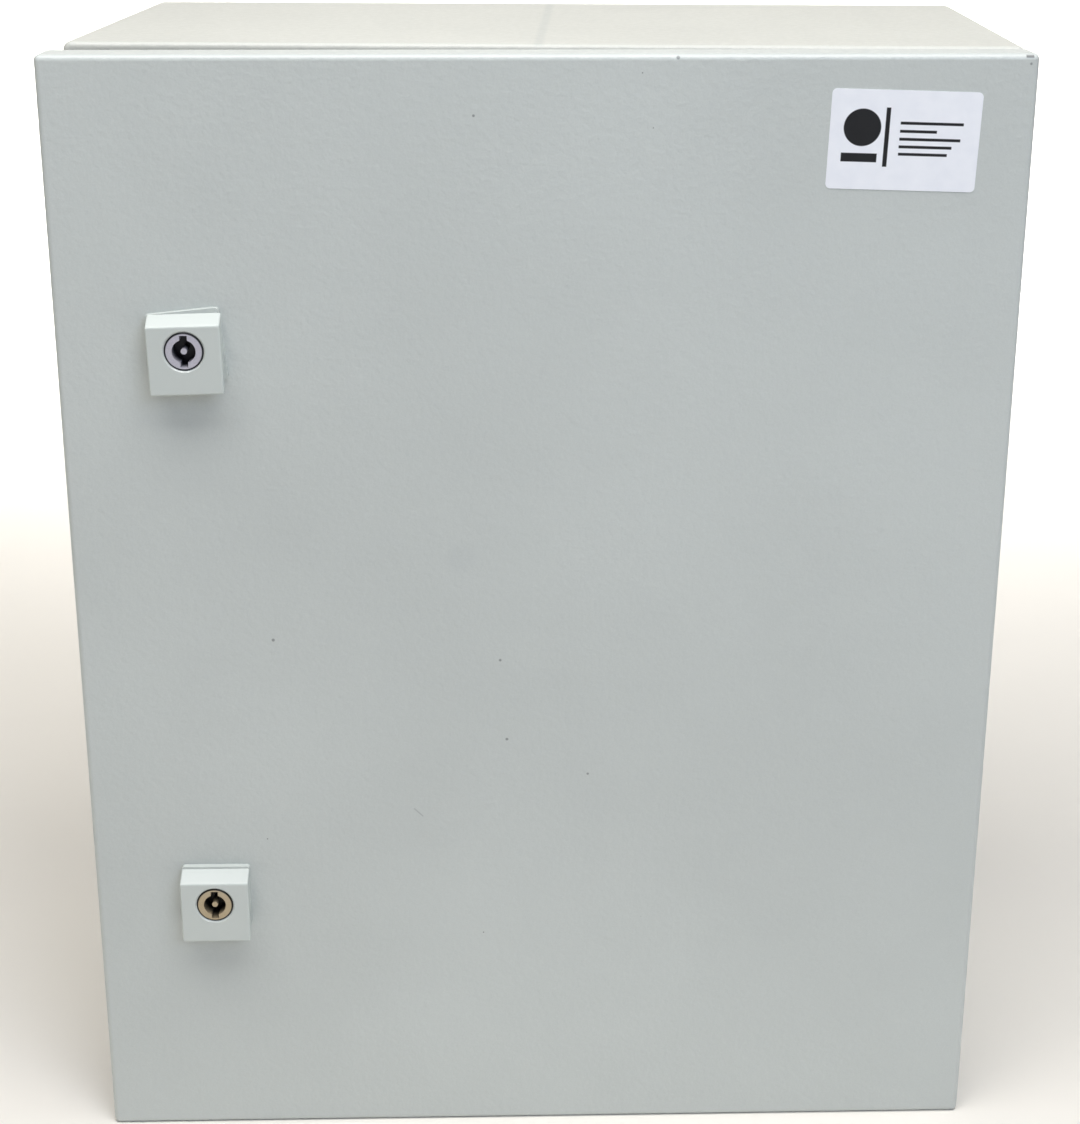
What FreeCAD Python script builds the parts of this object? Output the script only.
import FreeCAD, Part
import math
import os

# Small wall-mounted industrial switchboard cabinet: a folded sheet-steel body with a
# one-piece door hung on its right side and two double-bit cam locks on its left side.
# Millimetres.  X runs to the right, Z up, and the wall is the plane Y = 0, so the door
# looks along -Y.  The origin is the centre of the four wall-fixing holes.

Vector = FreeCAD.Vector
Rotation = FreeCAD.Rotation

# ---------------------------------------------------------------- driving dimensions
width = 400.0
height = 500.0
depth = 200.0

# body
body_sheet = 1.5
body_corner = 3.5
body_bend = 2.5
fold_width = 19.0
lip_corner = 6.0
seal_gap = 7.5
lip_height = 14.5
wall_hole_inset = 25.0
wall_hole_radius = 4.5

# door
door_sheet = 1.5
door_bend = 2.5
door_flange = 16.5
door_ajar = 3.25
gasket_width = 10.0
lip_clearance = 0.3

# hinges
hinge_height = 170.0
hinge_inset = 7.5
hinge_setback = 9.0
pin_radius = 2.5
pin_fit = 0.05
barrel_radius = 4.0
barrel_half = 9.0
ear_length = 6.0
bracket_half = 22.0
bracket_plate = 2.5
web_half = 2.0
hinge_part_gap = 0.3
notch_clearance = 3.0

# locks
lock_edge_distance = 54.5
upper_lock_height = 131.0
lower_lock_height = -127.0
upper_base_tilt = 5.9
upper_head_tilt = 1.5
head_width = 30.4
head_reach = 9.75
face_above = 10.6
face_below = 18.6
chamfer_rise = 3.6
base_size = 30.5
base_thickness = 2.5
undercut_start = 3.0
head_lip = 2.0
barrel_wall = 1.9
hole_clearance = 0.2
insert_radius = 8.1
insert_step = 1.0
insert_fit = 0.08
insert_sunk = 0.3
key_recess_margin = 3.2
key_slot_width = 3.2
key_slot_margin = 1.4
key_pin_radius = 1.3
key_recess_depth = 8.0
cam_thickness = 2.0
cam_width = 18.0
cam_clearance = 0.5
cam_overlap = 8.5
cam_square = 8.0
lock_nut_rim = 3.5
lock_nut_thickness = 5.0

# mounting plate and its studs
plate_margin = 30.0
plate_thickness = 2.0
plate_seat = 18.0
plate_corner_cut = 20.0
stud_inset = 20.0
stud_radius = 4.0
collar_radius = 7.0
thread_gap = 0.05
nut_flats = 13.0
nut_height = 6.5
washer_radius = 8.0
washer_thickness = 1.6
stud_end = 3.0

# gland plate
gland_length = 260.0
gland_depth = 120.0
gland_border = 20.0
gland_plate_thickness = 2.0
gland_seal = 2.0
gland_screw_radius = 2.5
gland_screw_gap = 0.1

# door rails
rail_width = 12.0
rail_height = 8.0
rail_pitch = 25.0
rail_hole_radius = 2.25
rail_gap = 1.5
rail_end_clearance = 16.0

# earth studs
earth_stud_length = 22.0
earth_foot_radius = 6.5
earth_foot_height = 2.5
earth_edge_distance = 34.0

# rating label
label_width = 61.0
label_height = 40.5
label_thickness = 0.2
label_tilt = 1.8
label_edge_distance = 53.0
label_top_distance = 34.7

# ---------------------------------------------------------------- places derived from them
half_w = width / 2
half_h = height / 2
door_front = -depth
door_inside = door_front + door_sheet
flange_tip = door_front + door_flange
fold_front = flange_tip + seal_gap
fold_back = fold_front + body_sheet
lip_tip = fold_front - lip_height
gasket_thickness = lip_tip - lip_clearance - door_inside
hinge_x = half_w - hinge_inset
hinge_y = door_front + hinge_setback
lock_x = -half_w + lock_edge_distance
lip_outer_w = half_w - fold_width
lip_outer_h = half_h - fold_width
gasket_out = (gasket_width - body_sheet) / 2
floor_top = -half_h + body_sheet
barrel_thread_radius = insert_radius + barrel_wall
lock_nut_flats = 2 * (barrel_thread_radius + lock_nut_rim)
key_recess_radius = insert_radius - key_recess_margin
key_slot_reach = insert_radius - key_slot_margin


# ---------------------------------------------------------------- helpers
def box(x0, x1, y0, y1, z0, z1):
    return Part.makeBox(x1 - x0, y1 - y0, z1 - z0, Vector(x0, y0, z0))


def centred_box(half_x, half_z, y0, y1):
    return box(-half_x, half_x, y0, y1, -half_z, half_z)


def rod(radius, start, end):
    axis = end - start
    return Part.makeCylinder(radius, axis.Length, start, axis)


def edges_along_y(shape):
    picked = []
    for edge in shape.Edges:
        first, last = edge.Vertexes[0].Point, edge.Vertexes[-1].Point
        along = (last - first).Length - abs(last.y - first.y)
        if edge.Curve.TypeId == "Part::GeomLine" and along < 1e-6:
            picked.append(edge)
    return picked


def edges_at_y(shape, y):
    return [e for e in shape.Edges if all(abs(v.Y - y) < 1e-6 for v in e.Vertexes)]


def rounded_block(half_x, half_z, y0, y1, corner):
    block = centred_box(half_x, half_z, y0, y1)
    return block.makeFillet(corner, edges_along_y(block))


def bent_block(half_x, half_z, y0, y1, corner, bend):
    """Block whose four long edges and whose front rim (at y0) are rounded like folded sheet."""
    block = rounded_block(half_x, half_z, y0, y1, corner)
    return block.makeFillet(bend, edges_at_y(block, y0))


def hexagon(flats, start, height_vector):
    radius = flats / math.sqrt(3)
    axis = Vector(height_vector)
    axis.normalize()
    side = Vector(0, 0, 1) if abs(axis.z) < 0.5 else Vector(1, 0, 0)
    points = [start + Rotation(axis, 60 * i).multVec(side) * radius for i in range(7)]
    return Part.Face(Part.makePolygon(points)).extrude(height_vector)


def ring(outer, inner, start, end):
    return rod(outer, start, end).cut(rod(inner, start, end))


def nut(flats, thickness, bore, start, axis):
    body = hexagon(flats, start, axis * thickness)
    return body.cut(rod(bore, start, start + axis * thickness))


def swing(shape):
    """Turn a piece of the closed door to the ajar position."""
    turned = shape.copy()
    turned.rotate(Vector(hinge_x, hinge_y, 0), Vector(0, 0, 1), door_ajar)
    return turned


def group(shapes):
    return Part.makeCompound(shapes)


def save(name, shape):
    shape.exportStep("parts/" + name + ".step")


os.makedirs("parts", exist_ok=True)


# ---------------------------------------------------------------- body
outer = bent_block(half_w, half_h, fold_front, 0, body_corner, body_bend)
inner = bent_block(
    half_w - body_sheet,
    half_h - body_sheet,
    fold_back,
    0,
    body_corner - body_sheet,
    body_bend - body_sheet,
)
lip_hole_corner = lip_corner - body_sheet
mouth_w = lip_outer_w - body_sheet
mouth_h = lip_outer_h - body_sheet
mouth = rounded_block(mouth_w, mouth_h, lip_tip, fold_back, lip_hole_corner)
lip = rounded_block(lip_outer_w, lip_outer_h, lip_tip, fold_back, lip_corner)
body = outer.cut(inner).fuse(lip).cut(mouth)

# cut-out in the floor for cables, with the screw holes of its cover around it
gland_y = (-body_sheet - plate_seat - plate_thickness + fold_front) / 2
gland_hole = box(
    -gland_length / 2 + gland_border,
    gland_length / 2 - gland_border,
    gland_y - gland_depth / 2 + gland_border,
    gland_y + gland_depth / 2 - gland_border,
    -half_h,
    floor_top,
)
body = body.cut(gland_hole)
screw_line_x = gland_length / 2 - gland_border / 2
screw_line_y = gland_depth / 2 - gland_border / 2
gland_screw_spots = []
for x in (-screw_line_x, 0, screw_line_x):
    for side in (-1, 1):
        gland_screw_spots.append(Vector(x, gland_y + side * screw_line_y, 0))
for spot in gland_screw_spots:
    low = Vector(spot.x, spot.y, -half_h)
    high = Vector(spot.x, spot.y, floor_top)
    body = body.cut(rod(gland_screw_radius + gland_screw_gap, low, high))

# holes in the front fold for the hinge screws
bracket_left = lip_outer_w + 1.5
bracket_right = half_w - body_bend - 0.5
hinge_screw_x = (bracket_left + bracket_right) / 2
hinge_screw_radius = 2.0
hinge_screw_rise = bracket_half - 6.0
hinge_levels = {"upper": hinge_height, "lower": -hinge_height}
for level in hinge_levels.values():
    for side in (-1, 1):
        z = level + side * hinge_screw_rise
        start = Vector(hinge_screw_x, fold_front, z)
        end = Vector(hinge_screw_x, fold_back, z)
        body = body.cut(rod(hinge_screw_radius + 0.1, start, end))
save("body_wrap", body.removeSplitter())

# back panel, welded inside the rear edge of the wrap
rear = rounded_block(
    half_w - body_sheet, half_h - body_sheet, -body_sheet, 0, body_corner - body_sheet
)
wall_x = half_w - wall_hole_inset
wall_z = half_h - wall_hole_inset
for sx in (-1, 1):
    for sz in (-1, 1):
        start = Vector(sx * wall_x, -body_sheet, sz * wall_z)
        end = Vector(sx * wall_x, 0, sz * wall_z)
        rear = rear.cut(rod(wall_hole_radius, start, end))
save("rear_panel", rear)


# ---------------------------------------------------------------- mounting plate
plate_half_w = half_w - plate_margin
plate_half_h = half_h - plate_margin
plate_back = -body_sheet - plate_seat
plate_front = plate_back - plate_thickness
stud_spots = []
for sx in (-1, 1):
    for sz in (-1, 1):
        stud_spots.append((sx * (plate_half_w - stud_inset), sz * (plate_half_h - stud_inset)))

plate = centred_box(plate_half_w, plate_half_h, plate_front, plate_back)
for sx in (-1, 1):
    for sz in (-1, 1):
        corner = Vector(sx * plate_half_w, plate_front, sz * plate_half_h)
        along_x = corner - Vector(sx * plate_corner_cut, 0, 0)
        along_z = corner - Vector(0, 0, sz * plate_corner_cut)
        triangle = Part.Face(Part.makePolygon([corner, along_x, along_z, corner]))
        plate = plate.cut(triangle.extrude(Vector(0, plate_thickness, 0)))

studs = []
washers = []
nuts = []
washer_front = plate_front - washer_thickness
nut_front = washer_front - nut_height
forward = Vector(0, -1, 0)
for x, z in stud_spots:
    foot = Vector(x, -body_sheet, z)
    seat = Vector(x, plate_back, z)
    washer_seat = Vector(x, plate_front, z)
    nut_seat = Vector(x, washer_front, z)
    tip = Vector(x, nut_front - stud_end, z)
    plate = plate.cut(rod(stud_radius + 0.4, seat, washer_seat))
    shank = rod(stud_radius, foot, tip)
    shank = shank.makeChamfer(0.7, edges_at_y(shank, tip.y))
    studs.append(shank.fuse(rod(collar_radius, foot, seat)).removeSplitter())
    washers.append(ring(washer_radius, stud_radius + 0.2, washer_seat, nut_seat))
    nuts.append(nut(nut_flats, nut_height, stud_radius + thread_gap, nut_seat, forward))
save("mounting_plate", plate)
save("plate_studs", group(studs))
save("plate_washers", group(washers))
save("plate_nuts", group(nuts))


# ---------------------------------------------------------------- cable entry plate
seal_top = floor_top + gland_seal
gland_top = seal_top + gland_plate_thickness
gland_box = [
    -gland_length / 2,
    gland_length / 2,
    gland_y - gland_depth / 2,
    gland_y + gland_depth / 2,
]
gland_seal_ring = box(*gland_box, floor_top, seal_top)
gland_window = box(
    gland_box[0] + gland_border,
    gland_box[1] - gland_border,
    gland_box[2] + gland_border,
    gland_box[3] - gland_border,
    floor_top,
    seal_top,
)
gland_seal_ring = gland_seal_ring.cut(gland_window)
gland_plate = box(*gland_box, seal_top, gland_top)
gland_screws = []
for spot in gland_screw_spots:
    low = Vector(spot.x, spot.y, -half_h)
    middle = Vector(spot.x, spot.y, seal_top)
    high = Vector(spot.x, spot.y, gland_top)
    clearance = rod(gland_screw_radius + gland_screw_gap, low, high)
    gland_plate = gland_plate.cut(clearance)
    gland_seal_ring = gland_seal_ring.cut(rod(gland_screw_radius + 0.3, low, middle))
    head = hexagon(8.0, high, Vector(0, 0, 3.5))
    gland_screws.append(rod(gland_screw_radius, low, high).fuse(head).removeSplitter())
save("gland_plate", gland_plate)
save("gland_plate_gasket", gland_seal_ring)
save("gland_plate_screws", group(gland_screws))


# ---------------------------------------------------------------- earth studs
def earth_set(foot, axis):
    """Welded stud with its washer and nut, standing on the sheet at foot."""
    collar = rod(earth_foot_radius, foot, foot + axis * earth_foot_height)
    shank = rod(3.0, foot, foot + axis * earth_stud_length)
    seat = foot + axis * earth_foot_height
    washer = ring(6.0, 3.2, seat, seat + axis * 1.6)
    fixing = nut(10.0, 5.0, 3.0 + thread_gap, seat + axis * 1.6, axis)
    return collar.fuse(shank).removeSplitter(), washer, fixing


earth_floor = Vector(half_w - earth_edge_distance, gland_y, floor_top)
stud, washer, fixing = earth_set(earth_floor, Vector(0, 0, 1))
save("body_earth_stud", stud)
save("body_earth_washer", washer)
save("body_earth_nut", fixing)


# ---------------------------------------------------------------- door
tray = bent_block(half_w, half_h, door_front, flange_tip, door_bend, door_bend)
hollow = bent_block(
    half_w - door_sheet,
    half_h - door_sheet,
    door_inside,
    flange_tip,
    door_bend - door_sheet,
    door_bend - door_sheet,
)
door = tray.cut(hollow)
notch_half = bracket_half + notch_clearance
for level in hinge_levels.values():
    notch = box(
        half_w - door_bend,
        half_w,
        door_inside,
        flange_tip,
        level - notch_half,
        level + notch_half,
    )
    door = door.cut(notch)
lock_levels = {"upper": upper_lock_height, "lower": lower_lock_height}
for z in lock_levels.values():
    start = Vector(lock_x, door_front, z)
    end = Vector(lock_x, door_inside, z)
    door = door.cut(rod(barrel_thread_radius + hole_clearance, start, end))
save("door_panel", swing(door))

gasket_outer_w = lip_outer_w + gasket_out
gasket_outer_h = lip_outer_h + gasket_out
gasket_back = door_inside + gasket_thickness
gasket = rounded_block(
    gasket_outer_w, gasket_outer_h, door_inside, gasket_back, lip_corner + gasket_out
)
gasket_hole = rounded_block(
    gasket_outer_w - gasket_width,
    gasket_outer_h - gasket_width,
    door_inside,
    gasket_back,
    1.0,
)
save("door_gasket", swing(gasket.cut(gasket_hole)))

# perforated stiffening rails, one inside each long edge of the gasket
rail_half = mouth_h - rail_end_clearance
rail_outer_x = gasket_outer_w - gasket_width - rail_gap
rail_back = door_inside + rail_height
rail_count = int(2 * (rail_half - rail_pitch / 2) / rail_pitch)
for side, sign in (("left", -1), ("right", 1)):
    x0 = min(sign * rail_outer_x, sign * (rail_outer_x - rail_width))
    rail = box(x0, x0 + rail_width, door_inside, rail_back, -rail_half, rail_half)
    channel = box(
        x0 + door_sheet,
        x0 + rail_width - door_sheet,
        door_inside,
        rail_back - door_sheet,
        -rail_half,
        rail_half,
    )
    rail = rail.cut(channel)
    for i in range(rail_count + 1):
        z = (i - rail_count / 2) * rail_pitch
        start = Vector(x0 + rail_width / 2, rail_back - door_sheet, z)
        end = Vector(x0 + rail_width / 2, rail_back, z)
        rail = rail.cut(rod(rail_hole_radius, start, end))
    save("door_rail_" + side, swing(rail))

door_foot = Vector(lock_x + 40.0, door_inside, -half_h + 55.0)
stud, washer, fixing = earth_set(door_foot, Vector(0, 1, 0))
save("door_earth_stud", swing(stud))
save("door_earth_washer", swing(washer))
save("door_earth_nut", swing(fixing))

label_x = half_w - label_edge_distance
label_z = half_h - label_top_distance
label = box(
    label_x - label_width / 2,
    label_x + label_width / 2,
    door_front - label_thickness,
    door_front,
    label_z - label_height / 2,
    label_z + label_height / 2,
)
label = label.makeFillet(2.0, edges_along_y(label))
label.rotate(Vector(label_x, 0, label_z), Vector(0, 1, 0), label_tilt)
save("rating_label", swing(label))


# ---------------------------------------------------------------- hinges
bracket_screws = []
for name, level in hinge_levels.items():
    axis_low = Vector(hinge_x, hinge_y, level - barrel_half)
    axis_high = Vector(hinge_x, hinge_y, level + barrel_half)
    base = box(
        bracket_left,
        bracket_right,
        fold_front - bracket_plate,
        fold_front,
        level - bracket_half,
        level + bracket_half,
    )
    web = box(
        hinge_x - web_half,
        hinge_x + web_half,
        hinge_y,
        fold_front - bracket_plate,
        level - barrel_half,
        level + barrel_half,
    )
    bracket = base.fuse(web).fuse(rod(barrel_radius, axis_low, axis_high))
    bracket = bracket.cut(rod(pin_radius, axis_low, axis_high))
    for side in (-1, 1):
        z = level + side * hinge_screw_rise
        top = Vector(hinge_screw_x, fold_front - bracket_plate, z)
        sink = Part.makeCone(3.8, 2.1, 1.7, top, Vector(0, 1, 0))
        bore = rod(2.1, top, Vector(hinge_screw_x, fold_front, z))
        bracket = bracket.cut(sink).cut(bore)
        head = Part.makeCone(3.7, 2.0, 1.7, top, Vector(0, 1, 0))
        shank = rod(hinge_screw_radius, top, Vector(hinge_screw_x, fold_back + 3.0, z))
        bracket_screws.append(head.fuse(shank).removeSplitter())
    save(name + "_hinge_bracket", bracket.removeSplitter())

    # door knuckle: two ears on one foot, above and below the body barrel
    ear_start = barrel_half + hinge_part_gap
    ear_end = ear_start + ear_length
    foot = box(
        hinge_x - hinge_inset + 1.0,
        hinge_x + 1.5,
        door_inside,
        door_inside + 2.0,
        level - ear_end,
        level + ear_end,
    )
    knuckle = foot
    for side in (-1, 1):
        near = Vector(hinge_x, hinge_y, level + side * ear_start)
        far = Vector(hinge_x, hinge_y, level + side * ear_end)
        arm = box(
            hinge_x - barrel_radius,
            hinge_x + 1.5,
            door_inside,
            hinge_y,
            min(near.z, far.z),
            max(near.z, far.z),
        )
        knuckle = knuckle.fuse(arm).fuse(rod(barrel_radius, near, far))
    for side in (-1, 1):
        near = Vector(hinge_x, hinge_y, level + side * ear_start)
        far = Vector(hinge_x, hinge_y, level + side * ear_end)
        knuckle = knuckle.cut(rod(pin_radius + pin_fit, near, far))
    save(name + "_door_knuckle", swing(knuckle.removeSplitter()))

    # hinge pin with a head resting just above the upper ear
    pin_bottom = Vector(hinge_x, hinge_y, level - ear_end - 1.0)
    head_bottom = Vector(hinge_x, hinge_y, level + ear_end + hinge_part_gap)
    head_top = head_bottom + Vector(0, 0, 1.5)
    pin = rod(pin_radius, pin_bottom, head_bottom).fuse(rod(3.8, head_bottom, head_top))
    save(name + "_hinge_pin", pin.removeSplitter())
save("hinge_bracket_screws", group(bracket_screws))


# ---------------------------------------------------------------- locks
# A lock is drawn about its own axis, with its distance out from the closed door's front
# face along -Y, then placed on the door and swung with it.
cam_front = -(fold_back - door_front + cam_clearance)
cam_back = cam_front - cam_thickness
barrel_end = cam_front + 0.3
face_out = head_reach
step_out = -4.0
cam_length = half_w - fold_width + cam_overlap + lock_x


def out(distance, x=0.0, z=0.0):
    return Vector(lock_x + x, door_front - distance, z)


def profile_block(points, half_x):
    wire = Part.makePolygon([out(p, -half_x, z) for p, z in points + points[:1]])
    return Part.Face(wire).extrude(Vector(2 * half_x, 0, 0))


def lock_head():
    """Wedge-shaped head with a sloping top and an undercut for the fingertips."""
    points = [
        (base_thickness, face_above + chamfer_rise),
        (face_out, face_above),
        (face_out, -face_below),
        (face_out - head_lip, -face_below),
        (base_thickness, -undercut_start),
    ]
    head = profile_block(points, head_width / 2)
    front = [e for e in head.Edges if all(abs(v.Y - out(face_out).y) < 1e-6 for v in e.Vertexes)]
    return head.makeFillet(0.6, front)


def lock_housing(tilt):
    barrel = rod(barrel_thread_radius, out(base_thickness + 0.5), out(barrel_end))
    stub = rod(barrel_thread_radius, out(base_thickness), out(face_out - head_lip))
    under = profile_block(
        [
            (base_thickness, -undercut_start),
            (face_out - head_lip, -face_below),
            (face_out - head_lip, undercut_start),
            (base_thickness, undercut_start),
        ],
        head_width / 2,
    )
    housing = lock_head().fuse(barrel).fuse(stub.common(under))
    wide = insert_radius + insert_fit
    narrow = wide - insert_step
    housing = housing.cut(rod(wide, out(face_out), out(step_out)))
    housing = housing.cut(rod(narrow, out(step_out), out(barrel_end)))
    rim = Part.makeCone(wide + 0.5, wide, 0.5, out(face_out), Vector(0, 1, 0))
    housing = housing.cut(rim).removeSplitter()
    housing.rotate(out(0), Vector(0, 1, 0), -tilt)
    return housing


def lock_base(tilt):
    plate = profile_block(
        [
            (0.0, base_size / 2),
            (base_thickness, base_size / 2),
            (base_thickness, -base_size / 2),
            (0.0, -base_size / 2),
        ],
        base_size / 2,
    )
    plate = plate.makeFillet(1.5, edges_along_y(plate))
    hole = rod(barrel_thread_radius + 0.1, out(base_thickness), out(0))
    plate = plate.cut(hole)
    plate.rotate(out(0), Vector(0, 1, 0), -tilt)
    return plate


def lock_insert():
    """Turning core with the double-bit key recess in its face and a square tail."""
    face = face_out - insert_sunk
    core = rod(insert_radius, out(face), out(step_out + 0.3))
    core = core.makeChamfer(0.4, edges_at_y(core, out(face).y))
    core = core.fuse(rod(insert_radius - insert_step, out(step_out + 0.3), out(cam_front)))
    tail_half = cam_square / 2
    tail_end = cam_back + 0.2
    tail = profile_block(
        [
            (cam_front, tail_half),
            (tail_end, tail_half),
            (tail_end, -tail_half),
            (cam_front, -tail_half),
        ],
        tail_half,
    )
    core = core.fuse(tail)
    recess_floor = face - key_recess_depth
    recess = rod(key_recess_radius, out(face), out(recess_floor))
    slot = profile_block(
        [
            (face, key_slot_reach),
            (recess_floor, key_slot_reach),
            (recess_floor, -key_slot_reach),
            (face, -key_slot_reach),
        ],
        key_slot_width / 2,
    )
    key_pin = rod(key_pin_radius, out(face - 0.6), out(recess_floor))
    core = core.cut(recess.fuse(slot)).fuse(key_pin)
    screw_hole = rod(3.0 + thread_gap, out(cam_front + 12.0), out(tail_end))
    return core.cut(screw_hole).removeSplitter()


def lock_cam():
    half = cam_width / 2
    blade = profile_block(
        [
            (cam_front, 0.0),
            (cam_back, 0.0),
            (cam_back, -cam_length),
            (cam_front, -cam_length),
        ],
        half,
    )
    blade = blade.makeFillet(5.0, [e for e in edges_along_y(blade) if e.Vertexes[0].Z < -1.0])
    blade = blade.fuse(rod(half, out(cam_front), out(cam_back)))
    square = cam_square / 2 + thread_gap
    hole = profile_block(
        [
            (cam_front, square),
            (cam_back, square),
            (cam_back, -square),
            (cam_front, -square),
        ],
        square,
    )
    return blade.cut(hole).removeSplitter()


base_tilts = {"upper": upper_base_tilt, "lower": 0.0}
head_tilts = {"upper": upper_head_tilt, "lower": 0.0}
backward = Vector(0, 1, 0)
for name, z in lock_levels.items():
    washer_out = cam_back - 1.6
    pieces = {
        "lock_base": lock_base(base_tilts[name]),
        "lock_housing": lock_housing(head_tilts[name]),
        "lock_nut": nut(
            lock_nut_flats,
            lock_nut_thickness,
            barrel_thread_radius + thread_gap,
            out(-door_sheet),
            backward,
        ),
        "lock_insert": lock_insert(),
        "lock_cam": lock_cam(),
        "lock_cam_washer": ring(9.0, 3.2, out(cam_back), out(washer_out)),
        "lock_cam_screw": hexagon(10.0, out(washer_out), backward * 4.0).fuse(
            rod(3.0, out(washer_out), out(cam_front + 11.0))
        ),
    }
    for piece, shape in pieces.items():
        shape.translate(Vector(0, 0, z))
        save(name + "_" + piece, swing(shape))
